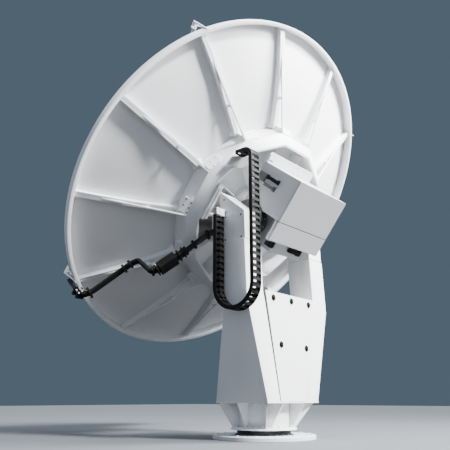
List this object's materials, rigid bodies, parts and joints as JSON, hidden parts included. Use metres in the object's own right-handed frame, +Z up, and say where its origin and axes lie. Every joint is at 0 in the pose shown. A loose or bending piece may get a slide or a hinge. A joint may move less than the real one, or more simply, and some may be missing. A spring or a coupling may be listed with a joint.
{
  "type": "weather radar antenna and pedestal",
  "caption": "Ground-standing weather radar: ribbed parabolic reflector with a receiver box, on a forked pedestal that turns in azimuth and elevation.",
  "frame": {"origin": "on the azimuth axis, at the middle of the base plate's underside", "axes": "+Z up along the azimuth axis, +X along the elevation axis towards the radar's right arm, +Y along the beam's horizontal heading at rest"},
  "size_m": [4.5, 3.1713, 4.7393],
  "materials": {
    "white_paint": "satin white paint",
    "grey_paint": "satin light grey paint",
    "dark_paint": "matt dark paint",
    "black_plastic": "moulded, matt black",
    "steel": "machined"
  },
  "bodies": {
    "base": {"base_plate": "grey_paint", "slewing_ring": "dark_paint"},
    "pedestal": {"turntable_flange": "white_paint", "adaptor": "white_paint", "foot_plate": "white_paint", "left_column": "white_paint", "right_column": "white_paint", "left_head": "white_paint", "right_head": "white_paint", "rear_panel": "white_paint", "front_panel": "white_paint", "deck_plate": "white_paint", "deck_gearbox": "dark_paint", "chain_anchor": "steel", "cable_chain": "black_plastic"},
    "antenna": {"reflector": "white_paint", "rim_ring": "white_paint", "rib_01": "white_paint", "rib_02": "white_paint", "rib_03": "white_paint", "rib_04": "white_paint", "rib_05": "white_paint", "rib_06": "white_paint", "rib_07": "white_paint", "rib_08": "white_paint", "rib_09": "white_paint", "rib_10": "white_paint", "rib_11": "white_paint", "rib_12": "white_paint", "hub_ring": "white_paint", "hub_drum": "white_paint", "mount_plate": "white_paint", "receiver_box": "grey_paint", "cradle": "dark_paint", "cradle_rear_panel": "grey_paint", "left_shaft": "steel", "right_shaft": "steel", "box_handle": "black_plastic", "left_connector": "black_plastic", "right_connector": "black_plastic", "waveguide_hub_run": "dark_paint", "waveguide_filter": "dark_paint", "waveguide_rim_run": "dark_paint", "feed_horn": "white_paint", "feed_collar": "white_paint", "feed_strut_1": "white_paint", "feed_strut_2": "white_paint", "feed_strut_3": "white_paint", "feed_strut_4": "white_paint"}
  },
  "joints": [
    {"name": "azimuth_turn", "type": "hinge", "parent": "base", "child": "pedestal", "pos_m": [0, 0, 0.1], "axis": [0, 0, 1], "continuous": true},
    {"name": "elevation_tilt", "type": "hinge", "parent": "pedestal", "child": "antenna", "pos_m": [0, -0.177, 2.412], "axis": [1, 0, 0], "range_deg": [-40.65, 51.35], "deforming": ["cable_chain"]}
  ]
}
